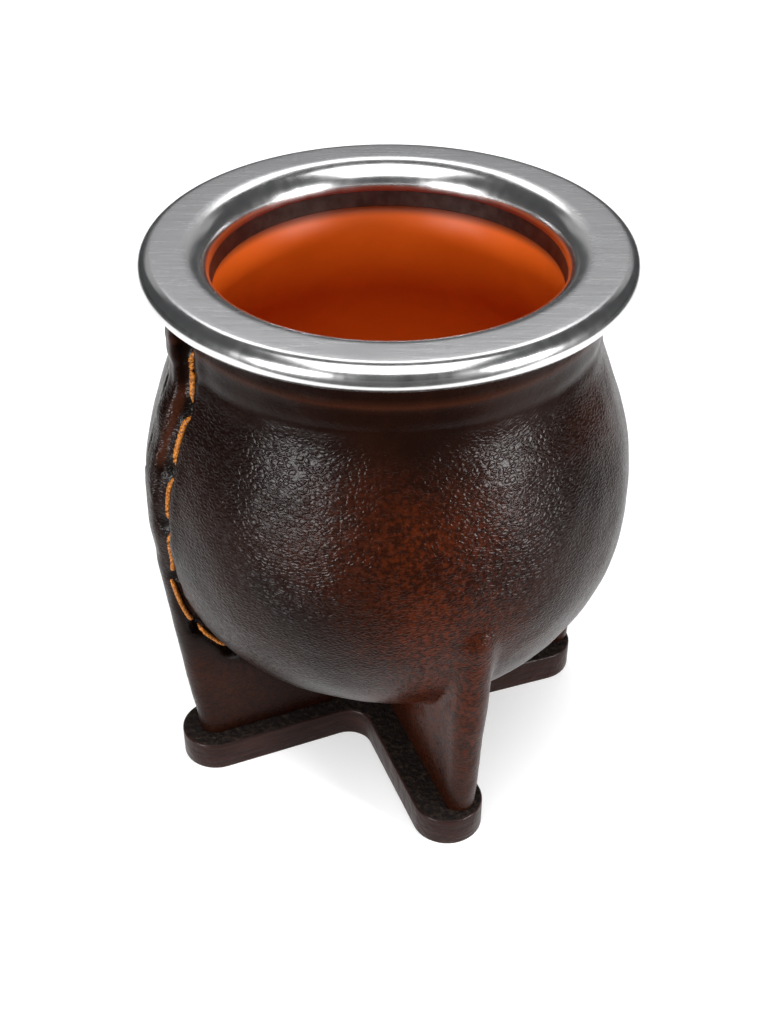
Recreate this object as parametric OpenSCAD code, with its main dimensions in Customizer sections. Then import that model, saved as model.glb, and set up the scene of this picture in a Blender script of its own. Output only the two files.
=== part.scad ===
/* [Overall] */
// Height from the table to the top of the metal rim
total_h = 112.3; // [100:0.1:135]
// Widest diameter of the leather belly
belly_d = 94.8; // [88:0.1:114]
// Height of the belly's widest ring above the table
belly_z = 62; // [60:0.5:70]
// Height of the belly's underside above the table
belly_under_z = 17.2; // [13:0.1:18]
// Radius of the arc round the belly's side
belly_side_r = 43; // [35:0.1:43.4]

/* [Neck] */
// Outside diameter of the leather neck under the rim
neck_d = 79; // [72:0.5:82]
// Height of the straight neck below the rim
neck_band = 11.6; // [6:0.1:16]
// Radius of the hollow between the belly and the neck
neck_fillet_r = 20; // [10:0.5:24]

/* [Walls] */
// Thickness of the leather wrap
leather_t = 2.2; // [1.5:0.1:4]
// Thickness of the ceramic cup
cup_t = 4; // [2.5:0.1:6]

/* [Metal rim] */
// Outside diameter of the rim ring
rim_d = 90; // [84:0.5:110]
// Thickness of the rim ring, and twice its edge radius
rim_t = 5.45; // [4:0.05:8]
// Radius of the rolled inner edge
rim_roll_r = 5.05; // [2:0.05:5.4]
// Depth of the collar below the underside of the rim
collar_h = 3.15; // [2:0.05:8]
// Wall of the collar at its lower end
collar_t = 1.2; // [0.8:0.1:2]
// Narrowing of the ring's bore below which the collar starts
lip_step = 0.25; // [0.1:0.05:0.5]

/* [Sole] */
// Thickness of the cross-shaped sole
sole_t = 6.8; // [4:0.1:10]
// Width of each arm of the sole
arm_w = 14.2; // [11:0.1:18]
// Reach of each arm from the middle of the sole to its round end
arm_l = 45; // [37:0.1:54]
// Fillet between two neighbouring arms
arm_fillet_r = 5; // [2:0.5:8]
// Sideways offset of the hand-set sole from the cup's axis
sole_shift = -1.6; // [-3:0.1:3]

/* [Legs] */
// Thickness of a leg where it stands on the sole
leg_t = 6.4; // [4:0.1:9]
// Distance of a leg's outer edge from the end of its arm
leg_inset = 2.1; // [1.8:0.1:6]
// Thickness of a leg where it leaves the belly
leg_top_t = 9; // [7:0.5:14]
// How far a leg's shoulder stands proud of the belly
leg_proud = 1.4; // [0.5:0.1:2.5]
// Height of a leg's shoulder below the belly's widest ring
leg_drop = 5; // [2:0.5:15]

/* [Seam] */
// Thickness of the raised seam ridge
ridge_t = 4.8; // [3:0.1:6]
// How far the seam ridge stands proud of the leather
ridge_proud = 2.4; // [0.4:0.1:3]
// Distance of the stitches from the middle of the ridge
stitch_offset = 5; // [3.5:0.1:8]
// Diameter of the waxed thread
thread_d = 1.3; // [0.8:0.1:2]
// Length of the bare leather between two stitches
stitch_gap = 1.6; // [0.8:0.1:3]
// Height of the rim's underside above the top stitch
seam_top_gap = 5.85; // [3:0.05:12]
// Height of the lowest stitch above the belly's underside
seam_low = 6.8; // [4:0.1:20]

/* [Hidden] */

$fn = 96;
slack = 1;
leg_facets = 32;
thread_facets = 24;

// Turn of each arm and leg about the cup's axis; the third one carries the seam.
arm_turns = [20, 112, 203, 291];
seam_turn = arm_turns[2];

belly_r = belly_d / 2;
neck_r = neck_d / 2;
mouth_r = neck_r - leather_t - cup_t;
bore_r = mouth_r - collar_t + lip_step;
rim_under_z = total_h - rim_t;

// The wrap's outline is a chain of tangent arcs. The bottom arc touches the side arc from outside.
side_x = belly_r - belly_side_r;
bottom_z = (pow(belly_z, 2) + pow(side_x, 2) - pow(belly_under_z + belly_side_r, 2))
    / (2 * (belly_z - belly_under_z - belly_side_r));
bottom_r = bottom_z - belly_under_z;
side_join = atan2(belly_z - bottom_z, side_x);

// The shoulder arc runs from the belly's widest ring into the neck's fillet.
neck_x = neck_r + neck_fillet_r;
neck_z = rim_under_z - neck_band;
shoulder_r = (pow(neck_x - belly_r, 2) + pow(neck_z - belly_z, 2) - pow(neck_fillet_r, 2))
    / (2 * (belly_r - neck_r));
shoulder_x = belly_r - shoulder_r;
neck_join = atan2(neck_z - belly_z, neck_x - shoulder_x);

// Points of an arc about (x, z), from angle a to angle b, in n steps.
function arc(x, z, r, a, b, n, first = 0) =
    [for (i = [first : n]) let (t = a + (b - a) * i / n) [x + r * cos(t), z + r * sin(t)]];

// The wrap's outline set in by a depth, from the bottom on the axis up to the rim.
function outline(depth) = concat(
    arc(0, bottom_z, bottom_r - depth, -90, side_join, 18),
    arc(side_x, belly_z, belly_side_r - depth, side_join, 0, 6, first = 1),
    arc(shoulder_x, belly_z, shoulder_r - depth, 0, neck_join, 10, first = 1),
    arc(neck_x, neck_z, neck_fillet_r + depth, 180 + neck_join, 180, 7, first = 1),
    [[neck_r - depth, rim_under_z]]);

// Radius of the wrap at a height.
wrap_table = [for (p = outline(0)) [p[1], p[0]]];
function wrap_r(z) = lookup(z, wrap_table);

// A solid of revolution out to an outline, with a flat top at a height.
module turned(depth, top_z) {
    rotate_extrude()
        polygon(concat(outline(depth), [[neck_r - depth, top_z], [0, top_z]]));
}

// Plan of one arm of the sole: its round end, then the fillet into the next arm.
function arm_edge(turn, next_turn) = let (
    half = (next_turn - turn) / 2,
    end_x = arm_l - arm_w / 2,
    corner = (arm_w / 2 + arm_fillet_r) / sin(half))
    concat(
        arc(end_x * cos(turn), end_x * sin(turn), arm_w / 2, turn - 90, turn + 90, 16),
        arc(corner * cos(turn + half), corner * sin(turn + half), arm_fillet_r, turn + 270, next_turn + 90, 8));

module sole() {
    last = len(arm_turns) - 1;
    color("#2a1a16")
        translate([sole_shift, 0, 0])
            linear_extrude(sole_t)
                polygon([for (i = [0 : last]) each
                    arm_edge(arm_turns[i], i < last ? arm_turns[i + 1] : arm_turns[0] + 360)]);
}

// One leg's fold of leather, from inside the belly's side down to an edge that stands on the sole.
module leg_fold(turn) {
    top_z = belly_z - leg_drop;
    top_x = wrap_r(top_z) + leg_proud - leg_top_t / 2;
    foot_x = arm_l - leg_inset - leg_t / 2;
    rotate(turn)
        hull() {
            translate([top_x, 0, top_z])
                sphere(d = leg_top_t, $fn = leg_facets);
            for (x = [leg_t, foot_x])
                translate([x, 0, sole_t])
                    cylinder(d = leg_t, h = slack, $fn = leg_facets);
        }
}

// The two edges of the leather, pinched together into a ridge above the third leg.
module ridge() {
    low_z = belly_z - leg_drop;
    upper = [for (p = outline(-ridge_proud)) if (p[1] > low_z) p];
    sunk = [for (p = outline(leather_t / 2)) if (p[1] > low_z) p];
    rotate(seam_turn)
        rotate([90, 0, 0])
            translate([0, 0, -ridge_t / 2])
                linear_extrude(ridge_t)
                    polygon(concat(upper, [for (i = [len(sunk) - 1 : -1 : 0]) sunk[i]]));
}

// The thread's holes, as shares of the seam's height from its top stitch down.
hole_shares = [0, 0.156, 0.312, 0.468, 0.636, 0.805, 0.909, 1];
seam_top_z = rim_under_z - seam_top_gap;
seam_low_z = belly_under_z + seam_low;

// A point of the stitch line, with the thread half sunk in the leather.
function seam_point(share) = let (
    z = seam_top_z + (seam_low_z - seam_top_z) * share,
    r = wrap_r(z) + thread_d / 5)
    [sqrt(pow(r, 2) - pow(stitch_offset, 2)), stitch_offset, z];
function toward(a, b, d) = a + (b - a) * d / norm(b - a);

// A length of thread between two points.
module length_of_thread(a, b) {
    along = b - a;
    translate(a)
        rotate([0, acos(along[2] / norm(along)), atan2(along[1], along[0])])
            cylinder(d = thread_d, h = norm(along), $fn = thread_facets);
}

// The running stitches, alike on both sides of the ridge.
module stitches() {
    rotate(seam_turn)
        for (side = [0, 1])
            mirror([0, side, 0])
                for (i = [0 : len(hole_shares) - 2]) {
                    a = seam_point(hole_shares[i]);
                    b = seam_point(hole_shares[i + 1]);
                    length_of_thread(toward(a, b, stitch_gap / 2), toward(b, a, stitch_gap / 2));
                }
}

module wrap() {
    color("#4a2416")
        difference() {
            union() {
                turned(0, rim_under_z);
                ridge();
            }
            turned(leather_t, rim_under_z + slack);
            stitches();
        }
}

module legs() {
    color("#5a2a18")
        difference() {
            for (turn = arm_turns)
                leg_fold(turn);
            turned(0, rim_under_z);
            ridge();
            stitches();
        }
}

module thread() {
    color("#d9912b")
        stitches();
}

module cup() {
    color("#b4470f")
        difference() {
            turned(leather_t, rim_under_z);
            turned(leather_t + cup_t, rim_under_z + slack);
        }
}

module rim() {
    roll_r = min(rim_roll_r, rim_t - lip_step);
    roll_z = total_h - roll_r;
    edge_r = rim_t / 2;
    edge_x = rim_d / 2 - edge_r;
    color("#b9bcc0")
        rotate_extrude() {
            // Flat ring with a half-round outer edge and a rolled inner edge.
            translate([edge_x, total_h - edge_r])
                circle(r = edge_r);
            translate([bore_r + roll_r, rim_under_z])
                square([edge_x - bore_r - roll_r, rim_t]);
            translate([bore_r, rim_under_z])
                square([roll_r, rim_t - roll_r]);
            intersection() {
                translate([bore_r + roll_r, roll_z])
                    circle(r = roll_r);
                translate([bore_r, roll_z - slack / 10])
                    square([roll_r, roll_r + slack / 10]);
            }
            // Collar that lines the mouth of the ceramic cup.
            polygon([
                [bore_r, roll_z],
                [bore_r - lip_step / 2, rim_under_z],
                [bore_r - lip_step, rim_under_z - collar_h],
                [mouth_r, rim_under_z - collar_h],
                [mouth_r, roll_z]]);
        }
}

sole();
wrap();
legs();
cup();
rim();
thread();
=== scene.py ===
import math

import bmesh
import bpy
from mathutils import Matrix, Vector, noise
from mathutils.bvhtree import BVHTree
from mathutils.kdtree import KDTree


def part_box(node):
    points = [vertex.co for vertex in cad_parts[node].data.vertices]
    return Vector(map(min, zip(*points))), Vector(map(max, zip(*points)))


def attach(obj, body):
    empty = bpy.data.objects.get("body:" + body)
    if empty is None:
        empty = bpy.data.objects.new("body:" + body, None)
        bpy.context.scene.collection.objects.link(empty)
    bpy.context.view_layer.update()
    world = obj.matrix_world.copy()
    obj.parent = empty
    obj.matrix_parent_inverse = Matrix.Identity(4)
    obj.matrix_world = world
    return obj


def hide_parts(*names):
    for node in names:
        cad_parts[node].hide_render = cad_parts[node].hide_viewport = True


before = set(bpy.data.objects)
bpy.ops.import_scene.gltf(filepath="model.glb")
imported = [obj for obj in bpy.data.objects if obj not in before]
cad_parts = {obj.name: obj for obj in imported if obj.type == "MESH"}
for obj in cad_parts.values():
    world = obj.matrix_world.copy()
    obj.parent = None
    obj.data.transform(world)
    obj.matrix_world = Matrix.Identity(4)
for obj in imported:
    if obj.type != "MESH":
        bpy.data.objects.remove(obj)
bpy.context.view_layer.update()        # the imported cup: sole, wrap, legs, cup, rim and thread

# ---------------------------------------------------------------- sizes, in millimetres
MM = 0.001


def high(node, axis):
    """A node's highest place along an axis, in millimetres."""
    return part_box(node)[1][axis] / MM


def low(node, axis):
    """A node's lowest place along an axis, in millimetres."""
    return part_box(node)[0][axis] / MM


TOTAL_H = high("rim", 2)
RIM_R = high("rim", 0)
RIM_UNDER = high("wrap", 2)
RIM_T = TOTAL_H - RIM_UNDER
COLLAR_LOW = low("rim", 2)
SOLE_T = high("sole", 2)
BELLY_R = high("wrap", 0)
LEATHER_T = BELLY_R - high("cup", 0)
CUP_T = 4.0
BELLY_Z = 62.0
BELLY_UNDER = 17.2
BELLY_SIDE_R = 43.0
NECK_R = 39.5
NECK_BAND = 11.6
NECK_FILLET = 20.0
SHOULDER_Z = 88.0
CREASE_Z = 96.4
NECK_EDGE_Z = 101.8
COLLAR_T = 1.2
LIP_STEP = 0.25
ROLL_R = 5.05
MOUTH_R = NECK_R - LEATHER_T - CUP_T
BORE_R = MOUTH_R - COLLAR_T + LIP_STEP

ARM_TURNS = (20, 112, 203, 291)
SEAM_TURN = ARM_TURNS[2]
ARM_W = 14.2
ARM_L = 45.0
ARM_FILLET = 5.0
SOLE_SHIFT = -1.6
SOLE_EDGE_R = 0.55

LEG_T = 6.4
LEG_FOOT_R = 42.9
LEG_PROUD = 1.4
RIDGE_T = 4.8
RIDGE_PROUD = 2.4

STITCH_OFFSET = 5.0
STITCH_HOLES = (101, 89, 77, 65, 52, 39, 31, 24)
THREAD_R = 0.58
THREAD_TWIST = 0.35     # turns in a millimetre
HOLE_GAP = 0.4          # between a hole and the end of its stitch


# ---------------------------------------------------------------- shared shapes
def arc(x, z, radius, start, end, steps):
    """Points of an arc about (x, z), from a start angle to an end angle in degrees."""
    turns = [math.radians(start + (end - start) * i / steps) for i in range(steps + 1)]
    return [(x + radius * math.cos(t), z + radius * math.sin(t)) for t in turns]


def wrap_outline(depth):
    """The wrap's outline set in by a depth, from the bottom on the axis up to the rim."""
    side_x = BELLY_R - BELLY_SIDE_R
    bottom_z = ((BELLY_Z ** 2 + side_x ** 2 - (BELLY_UNDER + BELLY_SIDE_R) ** 2)
                / (2 * (BELLY_Z - BELLY_UNDER - BELLY_SIDE_R)))
    bottom_r = bottom_z - BELLY_UNDER
    neck_x, neck_z = NECK_R + NECK_FILLET, RIM_UNDER - NECK_BAND
    shoulder_r = (((neck_x - BELLY_R) ** 2 + (neck_z - BELLY_Z) ** 2 - NECK_FILLET ** 2)
                  / (2 * (BELLY_R - NECK_R)))
    shoulder_x = BELLY_R - shoulder_r
    side_join = math.degrees(math.atan2(BELLY_Z - bottom_z, side_x))
    neck_join = math.degrees(math.atan2(neck_z - BELLY_Z, neck_x - shoulder_x))
    return (arc(0, bottom_z, bottom_r - depth, -90, side_join, 28)
            + arc(side_x, BELLY_Z, BELLY_SIDE_R - depth, side_join, 0, 20)[1:]
            + arc(shoulder_x, BELLY_Z, shoulder_r - depth, 0, neck_join, 14)[1:]
            + arc(neck_x, neck_z, NECK_FILLET + depth, 180 + neck_join, 180, 8)[1:]
            + [(NECK_R - depth, RIM_UNDER)])


WRAP_PATH = wrap_outline(0)


def wrap_radius(z):
    """Radius of the round wrap at a height."""
    for (r0, z0), (r1, z1) in zip(WRAP_PATH, WRAP_PATH[1:]):
        if z0 <= z <= z1:
            return r0 + (r1 - r0) * (z - z0) / (z1 - z0)
    return NECK_R if z > RIM_UNDER else 0.0


def ease(value, start, end):
    """0 below start, 1 above end, smooth between them."""
    t = min(max((value - start) / (end - start), 0.0), 1.0)
    return t * t * (3 - 2 * t)


def bump_at(distance, width):
    return math.exp(-(distance / width) ** 2)


# ---------------------------------------------------------------- making pieces
def lathe(outline, steps, closed):
    """Turns an outline of (radius, height) points about the cup's axis."""
    bm = bmesh.new()
    verts = [bm.verts.new((r, 0, z)) for r, z in outline]
    edges = [bm.edges.new(pair) for pair in zip(verts, verts[1:])]
    if closed:
        edges.append(bm.edges.new((verts[-1], verts[0])))
    bmesh.ops.spin(bm, geom=verts + edges, cent=(0, 0, 0), axis=(0, 0, 1), angle=math.tau, steps=steps, use_merge=True)
    bmesh.ops.remove_doubles(bm, verts=bm.verts, dist=0.0005)
    bmesh.ops.recalc_face_normals(bm, faces=bm.faces)
    return bm


def finish_piece(bm, name, materials, nodes):
    """Makes a mesh in millimetres a finished piece that rides on the cup."""
    bmesh.ops.scale(bm, vec=(MM, MM, MM), verts=bm.verts)
    for face in bm.faces:
        face.smooth = True
    mesh = bpy.data.meshes.new(name)
    bm.to_mesh(mesh)
    bm.free()
    for material in materials:
        mesh.materials.append(material)
    piece = bpy.data.objects.new(name, mesh)
    bpy.context.scene.collection.objects.link(piece)
    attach(piece, "root")
    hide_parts(*nodes)
    return piece


# ---------------------------------------------------------------- materials
class Nodes:
    """A short way to lay out a material's nodes."""

    def __init__(self, name):
        self.material = bpy.data.materials.new(name)
        self.material.use_nodes = True
        self.tree = self.material.node_tree
        self.shader = self.tree.nodes["Principled BSDF"]
        place = self.add("ShaderNodeTexCoord").outputs["Object"]
        self.mm = self.mapped(place, (1 / MM, 1 / MM, 1 / MM))

    def add(self, kind, **settings):
        node = self.tree.nodes.new(kind)
        for key, value in settings.items():
            setattr(node, key, value)
        return node

    def link(self, value, socket):
        if isinstance(value, bpy.types.NodeSocket):
            self.tree.links.new(value, socket)
        else:
            socket.default_value = value

    def mapped(self, vector, scale, location=(0, 0, 0), rotation=(0, 0, 0)):
        node = self.add("ShaderNodeMapping")
        self.link(vector, node.inputs["Vector"])
        node.inputs["Scale"].default_value = scale
        node.inputs["Location"].default_value = location
        node.inputs["Rotation"].default_value = rotation
        return node.outputs["Vector"]

    def noise(self, vector, scale, detail=3.0, roughness=0.5, distortion=0.0):
        node = self.add("ShaderNodeTexNoise")
        self.link(vector, node.inputs["Vector"])
        node.inputs["Scale"].default_value = scale
        node.inputs["Detail"].default_value = detail
        node.inputs["Roughness"].default_value = roughness
        node.inputs["Distortion"].default_value = distortion
        return node.outputs["Fac"]

    def cells(self, vector, scale, feature="DISTANCE_TO_EDGE"):
        node = self.add("ShaderNodeTexVoronoi", feature=feature)
        self.link(vector, node.inputs["Vector"])
        node.inputs["Scale"].default_value = scale
        return node.outputs["Distance"]

    def math(self, kind, a, b=0.0):
        node = self.add("ShaderNodeMath", operation=kind)
        self.link(a, node.inputs[0])
        self.link(b, node.inputs[1])
        return node.outputs[0]

    def ranged(self, value, low_in, high_in, low_out=0.0, high_out=1.0):
        node = self.add("ShaderNodeMapRange", interpolation_type="SMOOTHSTEP")
        self.link(value, node.inputs["Value"])
        node.inputs["From Min"].default_value = low_in
        node.inputs["From Max"].default_value = high_in
        node.inputs["To Min"].default_value = low_out
        node.inputs["To Max"].default_value = high_out
        return node.outputs["Result"]

    def blend(self, factor, a, b):
        node = self.add("ShaderNodeMix", data_type="RGBA")
        self.link(factor, node.inputs["Factor"])
        self.link(a, node.inputs[6])
        self.link(b, node.inputs[7])
        return node.outputs[2]

    def attribute(self, name):
        return self.add("ShaderNodeAttribute", attribute_name=name).outputs["Fac"]

    def bump(self, height, depth_mm, below=None):
        node = self.add("ShaderNodeBump")
        node.inputs["Distance"].default_value = depth_mm * MM
        self.link(height, node.inputs["Height"])
        if below is not None:
            self.link(below, node.inputs["Normal"])
        return node.outputs["Normal"]

    def set(self, **values):
        for key, value in values.items():
            self.link(value, self.shader.inputs[key.replace("_", " ")])


def rgb(r, g, b):
    return (r, g, b, 1.0)


def waxed_leather():
    n = Nodes("waxed_brown_leather")
    split = n.add("ShaderNodeSeparateXYZ")
    n.link(n.mm, split.inputs[0])
    height = split.outputs["Z"]
    # Rubbed reddish patches over a nearly black brown.
    rub = n.attribute("rub")
    clouds = n.noise(n.mm, 0.05, 4, 0.55)
    specks = n.noise(n.mm, 1.1, 4, 0.65)
    speckled = n.ranged(n.math("ADD", specks, n.math("MULTIPLY", clouds, 0.35)), 0.58, 0.84, 0.16, 1.0)
    amount = n.math("MULTIPLY", rub, speckled)
    dark = n.blend(n.ranged(clouds, 0.35, 0.65), rgb(0.0036, 0.0011, 0.0006), rgb(0.0066, 0.0018, 0.0008))
    colour = n.blend(amount, dark, rgb(0.034, 0.0056, 0.0010))
    # Painted shade darkens the seam's groove and the leather around the thread holes.
    colour = n.blend(n.attribute("seam_shade"), colour, rgb(0.003, 0.0015, 0.001))
    colour = n.blend(n.attribute("raw"), colour, rgb(0.12, 0.035, 0.016))
    # Fine wrinkled grain, flatter on the pressed neck and under the belly.
    wavy = n.add("ShaderNodeVectorMath", operation="ADD")
    sway = n.add("ShaderNodeTexNoise")
    n.link(n.mm, sway.inputs["Vector"])
    sway.inputs["Scale"].default_value = 0.55
    sway.inputs["Detail"].default_value = 2.0
    n.link(n.mm, wavy.inputs[0])
    n.link(sway.outputs["Color"], wavy.inputs[1])
    creases = n.cells(n.mapped(wavy.outputs[0], (0.85, 0.85, 1.7)), 0.95)
    pores = n.noise(n.mapped(wavy.outputs[0], (1.0, 1.0, 1.7)), 1.3, 1, 0.5, 0.4)
    fade = n.math("MULTIPLY", n.ranged(height, 97, 90, 0.12, 1.0), n.ranged(height, 34, 56, 0.30, 1.0))
    grain = n.math("MULTIPLY", n.math("ADD", n.ranged(creases, 0.0, 0.32), n.math("MULTIPLY", pores, 0.9)), fade)
    folds = n.noise(n.mm, 0.16, 3, 0.5)
    normal = n.bump(folds, 0.18)
    normal = n.bump(grain, 0.055, normal)
    n.set(Base_Color=colour, Roughness=n.ranged(specks, 0.2, 0.8, 0.25, 0.32), Normal=normal, IOR=1.165)
    return n.material


def sole_edge_leather():
    n = Nodes("burnished_sole_edge")
    layers = n.noise(n.mapped(n.mm, (0.12, 0.12, 2.2)), 1.0, 3)
    colour = n.blend(n.ranged(layers, 0.3, 0.7), rgb(0.007, 0.0032, 0.0026), rgb(0.015, 0.006, 0.0046))
    normal = n.bump(n.noise(n.mm, 0.35, 3), 0.35)
    normal = n.bump(layers, 0.06, normal)
    n.set(Base_Color=colour, Roughness=0.33, Normal=normal, IOR=1.18)
    return n.material


def sole_top_leather():
    n = Nodes("rough_sole_top")
    rough = n.noise(n.mm, 0.9, 5, 0.65)
    colour = n.blend(n.ranged(rough, 0.45, 0.75), rgb(0.006, 0.004, 0.0035), rgb(0.030, 0.019, 0.013))
    normal = n.bump(rough, 0.7)
    n.set(Base_Color=colour, Roughness=0.6, Normal=normal, IOR=1.2)
    return n.material


def glazed_clay():
    n = Nodes("orange_glazed_clay")
    mottle = n.noise(n.mm, 0.06, 4, 0.5)
    colour = n.blend(n.ranged(mottle, 0.3, 0.7), rgb(0.78, 0.118, 0.006), rgb(0.84, 0.132, 0.008))
    # Painted shade darkens the bowl's lower half, where the front rim shades the inside from the lamps.
    split = n.add("ShaderNodeSeparateXYZ")
    n.link(n.mm, split.inputs[0])
    colour = n.blend(n.ranged(split.outputs["Z"], 88, 34), colour, rgb(0.44, 0.040, 0.001))
    # Painted shadow: a dark band at the clay's top, under the steel collar.
    colour = n.blend(n.ranged(split.outputs["Z"], 100.8, 103.2), colour, rgb(0.20, 0.030, 0.002))
    normal = n.bump(n.noise(n.mm, 0.12, 2), 0.25)
    n.set(Base_Color=colour, Roughness=0.42, Normal=normal, Specular_IOR_Level=0.35)
    return n.material


def brushed_steel():
    n = Nodes("brushed_steel")
    lines = n.noise(n.mapped(n.mm, (0.06, 4.5, 4.5)), 1.0, 4, 0.65)
    scratches = n.noise(n.mapped(n.mm, (0.09, 1.2, 1.2), rotation=(0, 0, 0.35)), 1.0, 5, 0.7)
    colour = n.blend(n.ranged(lines, 0.3, 0.7), rgb(0.56, 0.56, 0.57), rgb(0.64, 0.64, 0.65))
    normal = n.bump(lines, 0.0035)
    normal = n.bump(scratches, 0.003, normal)
    n.set(Base_Color=colour, Metallic=1.0, Roughness=n.ranged(scratches, 0.3, 0.75, 0.22, 0.29), Normal=normal)
    return n.material


def polished_steel():
    n = Nodes("polished_steel")
    haze = n.noise(n.mapped(n.mm, (1.0, 1.0, 0.4)), 0.5, 3)
    n.set(Base_Color=rgb(0.66, 0.66, 0.66), Metallic=1.0, Roughness=n.ranged(haze, 0.3, 0.7, 0.19, 0.24))
    return n.material


def shade_darkened_steel():
    # The collar's dark steel colour is painted shade: a painted reflection of the unlit inner wall across the mouth.
    n = Nodes("shade_darkened_collar_steel")
    shade_mottle = n.noise(n.mm, 0.4, 3)
    colour = n.blend(n.ranged(shade_mottle, 0.3, 0.7), rgb(0.11, 0.095, 0.085), rgb(0.17, 0.150, 0.135))
    n.set(Base_Color=colour, Metallic=1.0, Roughness=0.38)
    return n.material


def waxed_thread():
    n = Nodes("waxed_yellow_thread")
    fibres = n.noise(n.mm, 3.0, 3)
    colour = n.blend(n.ranged(fibres, 0.3, 0.7), rgb(0.07, 0.020, 0.003), rgb(0.42, 0.140, 0.013))
    n.set(Base_Color=colour, Roughness=0.5, Normal=n.bump(fibres, 0.08), IOR=1.3)
    return n.material


# ---------------------------------------------------------------- steel rim
def steel_rim():
    edge_r = RIM_T / 2
    edge_x = RIM_R - edge_r
    outline = arc(edge_x, TOTAL_H - edge_r, edge_r, -90, 90, 28)
    outline += [(edge_x - 1.0, TOTAL_H), (edge_x - 2.0, TOTAL_H)]
    outline += arc(BORE_R + ROLL_R, TOTAL_H - ROLL_R, ROLL_R, 90, 176, 32)
    # The lip's lower edge turns in to meet the collar.
    outline += [(BORE_R + out, RIM_UNDER + up) for out, up in ((0, 0.30), (0.04, 0.12), (0.16, 0), (0.20, -0.10))]
    outline += [(BORE_R - LIP_STEP, COLLAR_LOW + 0.3)]
    outline += arc(BORE_R - LIP_STEP + 0.3, COLLAR_LOW + 0.3, 0.3, 180, 270, 4)
    outline += [(MOUTH_R, COLLAR_LOW), (MOUTH_R, RIM_UNDER)]
    bm = lathe(outline, 256, closed=True)
    for face in bm.faces:
        middle = face.calc_center_median()
        if face.normal.z > 0.97 and middle.z > TOTAL_H - 0.4:
            face.material_index = 0
        elif middle.z < RIM_UNDER + 0.2 and math.hypot(middle.x, middle.y) < MOUTH_R:
            face.material_index = 2
        else:
            face.material_index = 1
    finish_piece(bm, "steel_rim", [brushed_steel(), polished_steel(), shade_darkened_steel()], ("rim",))


# ---------------------------------------------------------------- ceramic cup
def ceramic_cup():
    outside = [(max(r, 0), z) for r, z in wrap_outline(LEATHER_T + 0.05)]
    inside = [(max(r, 0), z) for r, z in wrap_outline(LEATHER_T + CUP_T)]
    outline = outside + list(reversed(inside))
    bm = lathe(outline, 192, closed=False)
    finish_piece(bm, "ceramic_cup", [glazed_clay()], ("cup",))


# ---------------------------------------------------------------- leather sole
def sole_outline():
    """The four round-ended arms and the fillets between them, as flat points."""
    points = []
    for i, turn in enumerate(ARM_TURNS):
        following = ARM_TURNS[i + 1] if i + 1 < len(ARM_TURNS) else ARM_TURNS[0] + 360
        half = (following - turn) / 2
        end_x = ARM_L - ARM_W / 2
        corner_x = (ARM_W / 2 + ARM_FILLET) / math.sin(math.radians(half))
        a, b = math.radians(turn), math.radians(turn + half)
        points += arc(end_x * math.cos(a), end_x * math.sin(a), ARM_W / 2, turn - 90, turn + 90, 20)
        points += arc(corner_x * math.cos(b), corner_x * math.sin(b), ARM_FILLET, turn + 270, following + 90, 10)
    return [(x + SOLE_SHIFT, y) for x, y in points]


def leather_sole():
    bm = bmesh.new()
    verts = [bm.verts.new((x, y, 0)) for x, y in sole_outline()]
    base = bm.faces.new(verts)
    up = bmesh.ops.extrude_face_region(bm, geom=[base])
    top = [v for v in up["geom"] if isinstance(v, bmesh.types.BMVert)]
    bmesh.ops.translate(bm, vec=(0, 0, SOLE_T), verts=top)
    bmesh.ops.recalc_face_normals(bm, faces=bm.faces)
    rims = [e for e in bm.edges if len(e.link_faces) == 2 and e.calc_face_angle() > 1.0]
    bmesh.ops.bevel(bm, geom=rims, offset=SOLE_EDGE_R, segments=4, profile=0.5, affect="EDGES", material=-1)
    for face in bm.faces:
        face.material_index = 1 if face.normal.z > 0.9 else 0
    finish_piece(bm, "leather_sole", [sole_edge_leather(), sole_top_leather()], ("sole",))


# ---------------------------------------------------------------- leather wrap
def seam_frame():
    """Turns points of the seam's own frame, with the ridge along +X, into the cup's frame."""
    return Matrix.Rotation(math.radians(SEAM_TURN), 3, "Z")


LEG_LEVELS = 12
LEG_TOP_Z = 64.0
MOULD_GRID = 0.75
SMOOTHINGS = 4


def leg_half(z):
    """Half the thickness of a leg at a height."""
    return LEG_T / 2 + 0.9 * (z - SOLE_T) / (LEG_TOP_Z - SOLE_T) + 1.5 * ease(z, 40, LEG_TOP_Z)


def seam_out(z):
    """The way out of the leather at a height of the seam, in the seam's frame."""
    return Vector((2, 0, wrap_radius(z - 1) - wrap_radius(z + 1))).normalized()


def seam_point(z, side):
    """A point of the stitch line: on the belly beside the ridge, then down the flank of the leg."""
    belly = ease(z, 50, 60)
    aside = STITCH_OFFSET - 1.4 * ease(z, 88, 96)
    r = wrap_radius(z)
    on_belly = Vector((math.sqrt(r * r - aside * aside), side * aside, z))
    on_flank = Vector((r, side * leg_half(z), z)) + seam_out(z) * (2.0 - 1.7 * ease(z, 38, 54))
    return on_belly * belly + on_flank * (1 - belly)


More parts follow.
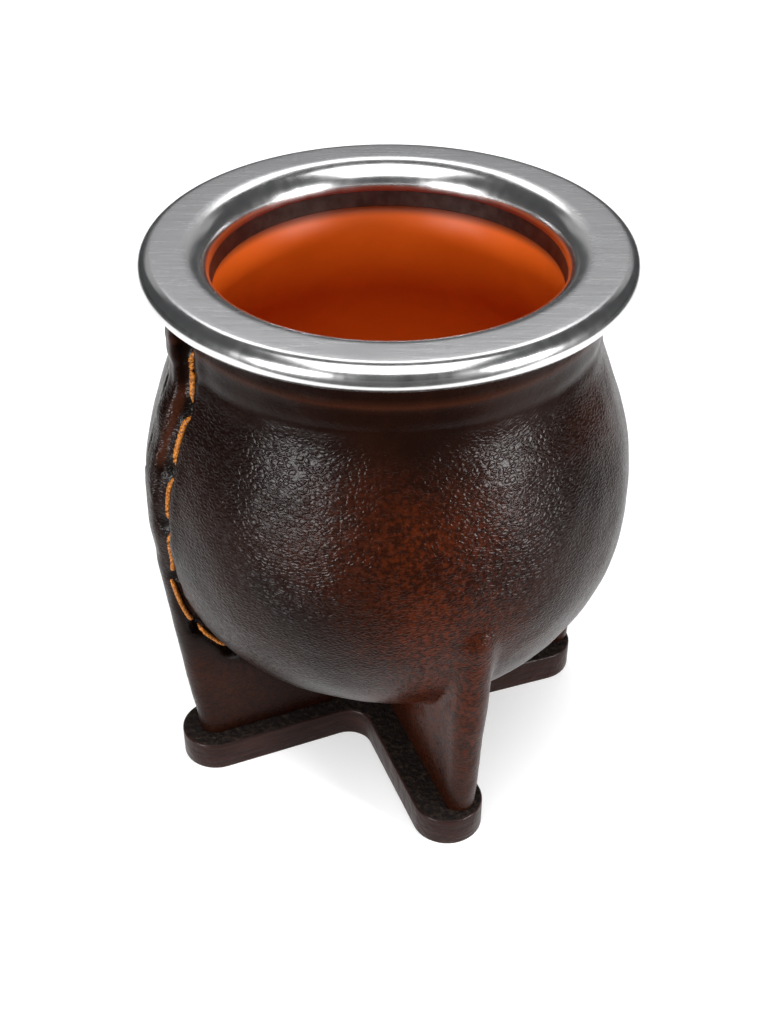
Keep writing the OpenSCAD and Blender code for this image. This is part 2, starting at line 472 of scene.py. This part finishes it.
def leg_blank(turn):
    """One leg: an upright fold of leather from its foot on the sole up into the belly's side."""
    bm = bmesh.new()
    bmesh.ops.create_circle(bm, cap_ends=True, segments=32, radius=1.0)
    foot = {v: v.co.copy() for v in bm.verts}

    def outer(z):
        t = (z - SOLE_T) / (LEG_TOP_Z - SOLE_T)
        reach = LEG_FOOT_R + (wrap_radius(BELLY_Z - 5) + LEG_PROUD - LEG_FOOT_R) * min(t * 1.16, 1.0)
        return reach - 2.6 * ease(z, LEG_TOP_Z - 10, LEG_TOP_Z)

    def place(verts, shape, z):
        t = (z - SOLE_T) / (LEG_TOP_Z - SOLE_T)
        half = leg_half(z)
        inner_x = 2.0 + 30.0 * t
        outer_x = outer(z)
        for v, unit in zip(verts, shape):
            x = outer_x - half + unit.x * half if unit.x > 0 else inner_x + half + unit.x * half
            v.co = Vector((x, unit.y * half, z))

    verts = list(foot)
    shape = [foot[v] for v in verts]
    place(verts, shape, SOLE_T)
    face = next(iter(bm.faces))
    for level in range(1, LEG_LEVELS + 1):
        z = SOLE_T + (LEG_TOP_Z - SOLE_T) * level / LEG_LEVELS
        before = {v: v.co.copy() for v in face.verts}
        # The first face stays as the foot, the later ones move up.
        up = bmesh.ops.extrude_face_region(bm, geom=[face], use_keep_orig=level == 1)
        face = [f for f in up["geom"] if isinstance(f, bmesh.types.BMFace)][0]
        ring = [v for v in up["geom"] if isinstance(v, bmesh.types.BMVert)]
        shape_ring = []
        for v in ring:
            near = min(before, key=lambda old: (before[old] - v.co).length)
            shape_ring.append(shape[verts.index(near)])
        verts, shape = ring, shape_ring
        place(verts, shape, z)
    bmesh.ops.rotate(bm, cent=(0, 0, 0), matrix=Matrix.Rotation(math.radians(turn), 3, "Z"), verts=bm.verts)
    bmesh.ops.recalc_face_normals(bm, faces=bm.faces)
    return bm


def ridge_blank():
    """The pinched edges of the leather above the seam's leg, as a thin upright plate."""
    bm = bmesh.new()
    lowest = BELLY_Z - 20
    skin = [(r, z) for r, z in WRAP_PATH if z > lowest]
    proud = [(r + RIDGE_PROUD * (0.45 * ease(z, 42, 58) + 0.55 * ease(z, 58, 86)), z) for r, z in skin]
    sunk = [(r - LEATHER_T, z) for r, z in skin]
    verts = [bm.verts.new((r, -RIDGE_T / 2, z)) for r, z in proud + sunk[::-1]]
    face = bm.faces.new(verts)
    out = bmesh.ops.extrude_face_region(bm, geom=[face])
    far = [v for v in out["geom"] if isinstance(v, bmesh.types.BMVert)]
    bmesh.ops.translate(bm, vec=(0, RIDGE_T, 0), verts=far)
    bmesh.ops.recalc_face_normals(bm, faces=bm.faces)
    bmesh.ops.rotate(bm, cent=(0, 0, 0), matrix=seam_frame(), verts=bm.verts)
    return bm


def joined(blanks):
    """One mesh of several, as loose parts."""
    whole = bmesh.new()
    for bm in blanks:
        part = bpy.data.meshes.new("blank")
        bm.to_mesh(part)
        bm.free()
        whole.from_mesh(part)
        bpy.data.meshes.remove(part)
    return whole


def moulded(bm, voxel):
    """Fuses overlapping blanks into one skin, as wet leather is moulded over them."""
    mesh = bpy.data.meshes.new("mould")
    bm.to_mesh(mesh)
    bm.free()
    form = bpy.data.objects.new("mould", mesh)
    bpy.context.scene.collection.objects.link(form)
    fuse = form.modifiers.new("fuse", "REMESH")
    fuse.mode = "VOXEL"
    fuse.voxel_size = voxel
    depsgraph = bpy.context.evaluated_depsgraph_get()
    result = bmesh.new()
    result.from_object(form, depsgraph)
    bpy.data.objects.remove(form)
    bpy.data.meshes.remove(mesh)
    return result


def leather_wrap():
    """Makes the wrap and returns its worked surface, for the thread to lie on."""
    body = lathe([(max(r, 0), z) for r, z in wrap_outline(0)] + [(0, RIM_UNDER)], 160, closed=False)
    blanks = [body] + [leg_blank(turn) for turn in ARM_TURNS] + [ridge_blank()]
    bm = moulded(joined(blanks), MOULD_GRID)
    soft = [v for v in bm.verts if v.co.z > SOLE_T + 1.5]
    for _ in range(SMOOTHINGS):
        bmesh.ops.smooth_vert(bm, verts=soft, factor=0.5, use_axis_x=True, use_axis_y=True, use_axis_z=True)
    work_leather(bm)
    surface = BVHTree.FromBMesh(bm)
    hollow_out(bm)
    finish_piece(bm, "leather_wrap", [waxed_leather()], ("wrap", "legs"))
    return surface


def work_leather(bm):
    """Presses the seam's groove, the thread's holes, folds and lumps into the leather, and marks its colours, painting
    shade into the groove and around the holes.
    """
    rub = bm.verts.layers.float.new("rub")
    seam_shade = bm.verts.layers.float.new("seam_shade")
    raw = bm.verts.layers.float.new("raw")
    to_seam = seam_frame().inverted()
    holes = [seam_point(z, side) for z in STITCH_HOLES for side in (1, -1)]
    seam = [seam_point(z * 0.8, side) for z in range(29, 132) for side in (1, -1)]
    near_seam = KDTree(len(seam))
    for i, point in enumerate(seam):
        near_seam.insert(point, i)
    near_seam.balance()
    bm.normal_update()
    moves = []
    for v in bm.verts:
        p = v.co
        local = to_seam @ p
        turn = math.degrees(math.atan2(p.y, p.x)) % 360
        shift = 0.0
        on_wrap = ease(p.z, SOLE_T + 2, SOLE_T + 12)
        # Slow unevenness of hand-formed leather.
        shift += 0.45 * on_wrap * noise.noise(p / 17.0) * ease(RIM_UNDER - p.z, 0, 12)
        shift += 0.10 * on_wrap * noise.noise(p / 5.0)
        if local.x > 0:
            aside = near_seam.find(local)[2]
            shift -= 0.9 * bump_at(aside, 1.2)
            shift += 0.35 * bump_at(abs(local.y) - STITCH_OFFSET - 2.6, 1.6) * ease(p.z, 56, 64)
            crest = bump_at(abs(local.y), 2.6) * ease(p.z, 50, 62)
            shift += 0.8 * crest * noise.noise(Vector((0, 7, p.z / 6.0)))
            nearest = min((local - h).length for h in holes)
            shift -= 1.6 * bump_at(nearest, 1.6)
            # Painted shade: the leather darkens around the thread holes and in the seam's groove.
            v[seam_shade] = min(1.0, 1.6 * bump_at(nearest, 2.2) + 0.9 * bump_at(aside, 1.5))
            v[raw] = 0.22 * bump_at(local.y - RIDGE_T / 2 - 0.1, 0.4) * ease(p.z, 76, 79) * (1 - ease(p.z, 91, 94))
        # The shoulder swells out below the crease that ends the pressed neck.
        shift += 0.65 * bump_at(p.z - SHOULDER_Z, 5.0) - 0.25 * bump_at(p.z - CREASE_Z, 1.1)
        # The neck has a fine turned edge just below the rim.
        shift += 0.15 * bump_at(p.z - NECK_EDGE_Z, 0.9)
        v[raw] = max(v[raw], 0.12 * bump_at(p.z - NECK_EDGE_Z, 0.6))
        # Worn red-brown areas.
        front = bump_at(turn - 283, 17) * ease(p.z, 8, 30) * (1 - ease(p.z, 74, 94))
        v[rub] = min(1.0, front + 0.25 * ease(noise.noise(p / 23.0 + Vector((3, 1, 8))), 0.0, 0.5))
        moves.append((v, v.normal * shift))
    for v, move in moves:
        v.co += move


def hollow_out(bm):
    """Opens the wrap at the top and lines it down to the ceramic cup."""
    cut_z = RIM_UNDER - 0.6
    bmesh.ops.bisect_plane(bm, geom=bm.verts[:] + bm.edges[:] + bm.faces[:], dist=0.0001,
                           plane_co=(0, 0, cut_z), plane_no=(0, 0, 1), clear_outer=True)
    rim = [e for e in bm.edges if e.is_boundary]
    lining = [(r, z) for r, z in wrap_outline(LEATHER_T)][::-1]
    steps = [(NECK_R - 0.4, RIM_UNDER)] + [(r, min(z, RIM_UNDER)) for r, z in lining]
    for radius, z in steps:
        out = bmesh.ops.extrude_edge_only(bm, edges=rim)
        rim = [e for e in out["geom"] if isinstance(e, bmesh.types.BMEdge)]
        for v in (v for v in out["geom"] if isinstance(v, bmesh.types.BMVert)):
            here = math.hypot(v.co.x, v.co.y)
            grow = max(radius, 0.01) / here
            v.co = Vector((v.co.x * grow, v.co.y * grow, z))
    bmesh.ops.remove_doubles(bm, verts=list({v for e in rim for v in e.verts}), dist=0.05)
    bmesh.ops.recalc_face_normals(bm, faces=bm.faces)


# ---------------------------------------------------------------- waxed thread
def on_leather(surface, z, side, lift):
    """The point of the stitch line on the worked leather at a height, in the cup's frame."""
    belly = ease(z, 50, 60)
    out = (seam_out(z) * belly + Vector((0, side, 0)) * (1 - belly)).normalized()
    start, out = seam_frame() @ seam_point(z, side), seam_frame() @ out
    hit, _, _, _ = surface.ray_cast(start + out * 5, -out, 8)
    return (hit or start) + out * lift


def stitch_path(surface, top, bottom, side, steps):
    """Points of one stitch that rises out of a hole, lies on the leather and dips into the next."""
    points = []
    for i in range(steps + 1):
        t = i / steps
        dip = 1.6 * (bump_at(t, 0.08) + bump_at(1 - t, 0.08))
        points.append(on_leather(surface, top + (bottom - top) * t, side, 0.5 * THREAD_R - dip))
    for _ in range(2):
        points[1:-1] = [(a + b * 2 + c) / 4 for a, b, c in zip(points, points[1:], points[2:])]
    return points


def twisted_thread(bm, points, radius, turns_per_mm):
    """A thread of three twisted strands along the points, with closed ends."""
    rings = []
    length = 0.0
    for i, point in enumerate(points):
        ahead = points[min(i + 1, len(points) - 1)] - points[max(i - 1, 0)]
        if i:
            length += (point - points[i - 1]).length
        made = bmesh.ops.create_circle(bm, cap_ends=i in (0, len(points) - 1), segments=12, radius=radius)
        twist = math.tau * length * turns_per_mm
        aim = ahead.to_track_quat("Z", "Y").to_matrix().to_4x4()
        for v in made["verts"]:
            angle = math.atan2(v.co.y, v.co.x)
            v.co *= 1 + 0.16 * abs(math.cos(1.5 * angle))
        bmesh.ops.rotate(bm, cent=(0, 0, 0), matrix=Matrix.Rotation(twist, 3, "Z"), verts=made["verts"])
        bmesh.ops.transform(bm, matrix=Matrix.Translation(point) @ aim, verts=made["verts"])
        rings.append(made["verts"])
    for a, b in zip(rings, rings[1:]):
        for k in range(len(a)):
            j = (k + 1) % len(a)
            bm.faces.new((a[k], a[j], b[j], b[k]))


def seam_thread(surface):
    bm = bmesh.new()
    for side in (1, -1):
        for top, bottom in zip(STITCH_HOLES, STITCH_HOLES[1:]):
            radius = THREAD_R * (0.78 + 0.22 * ease(top, 60, 90))
            twisted_thread(bm, stitch_path(surface, top - HOLE_GAP, bottom + HOLE_GAP, side, 30), radius, THREAD_TWIST)
    bmesh.ops.recalc_face_normals(bm, faces=bm.faces)
    finish_piece(bm, "seam_thread", [waxed_thread()], ("thread",))


# ---------------------------------------------------------------- floor, light and camera
def soft_box(name, place, aim, width, height, radiance):
    """A rectangle of even light that faces a point."""
    lamp = bpy.data.lights.new(name, "AREA")
    lamp.shape = "RECTANGLE"
    lamp.size, lamp.size_y = width, height
    lamp.energy = math.pi * width * height * radiance
    place = Vector(place)
    lamp_object = bpy.data.objects.new(name, lamp)
    lamp_object.location = place
    lamp_object.rotation_euler = (Vector(aim) - place).to_track_quat("-Z", "Y").to_euler()
    lamp_object.visible_camera = False
    bpy.context.scene.collection.objects.link(lamp_object)


def flat_sheet(name, corner_a, corner_b, z, shade, glow):
    """A matt sheet lying level between two corners, glowing with painted light by the given amount."""
    (x0, y0), (x1, y1) = corner_a, corner_b
    mesh = bpy.data.meshes.new(name)
    mesh.from_pydata([(x0, y0, z), (x1, y0, z), (x1, y1, z), (x0, y1, z)], [], [(0, 1, 2, 3)])
    matt = bpy.data.materials.new(name)
    matt.use_nodes = True
    inputs = matt.node_tree.nodes["Principled BSDF"].inputs
    inputs["Base Color"].default_value = rgb(shade, shade, shade)
    inputs["Roughness"].default_value = 0.9
    inputs["Emission Color"].default_value = rgb(1, 1, 1)
    inputs["Emission Strength"].default_value = glow
    mesh.materials.append(matt)
    sheet = bpy.data.objects.new(name, mesh)
    bpy.context.scene.collection.objects.link(sheet)


def studio():
    # A pale sheet under the cup, glowing faintly with painted light, on a near-black sheet of painted shade.
    flat_sheet("pale_sheet", (-0.26, -0.112), (0.26, 0.75), 0.0, 0.92, 0.22)
    # The near-black sheet is painted shade, standing in for the unlit room around the pale sheet.
    flat_sheet("shade_sheet", (-3.0, -3.0), (3.0, 3.0), -0.0005, 0.03, 0.0)
    world = bpy.data.worlds.new("studio")
    world.use_nodes = True
    world.node_tree.nodes["Background"].inputs["Color"].default_value = rgb(0.95, 0.97, 1.0)
    world.node_tree.nodes["Background"].inputs["Strength"].default_value = 0.08
    bpy.context.scene.world = world
    soft_box("front_box", (0.0, -0.50, 1.25), (0, 0, 0.06), 1.2, 1.30, 3.3)
    soft_box("rear_box", (0.0, 0.80, 1.0), (0, 0.5, 0), 0.9, 0.4, 3.0)
    soft_box("back_panel", (0.0, 1.1, 0.72), (0, 0, 0.06), 2.0, 0.4, 0.38)
    soft_box("left_box", (-0.68, -0.74, 0.20), (0, 0, 0.07), 0.30, 0.30, 62.0)
    soft_box("right_box", (0.84, -0.56, 0.20), (0, 0, 0.07), 0.30, 0.30, 70.0)
    bpy.context.scene.view_settings.view_transform = "Standard"


def camera():
    data = bpy.data.cameras.new("camera")
    data.lens = 52.73
    data.clip_start = 0.01
    eye = bpy.data.objects.new("camera", data)
    eye.location = (0.0, -0.24477, 0.23272)
    eye.rotation_euler = (math.radians(90 - 36.5), 0.0, 0.0035)
    bpy.context.scene.collection.objects.link(eye)
    bpy.context.scene.camera = eye


camera()
studio()
steel_rim()
ceramic_cup()
leather_sole()
seam_thread(leather_wrap())
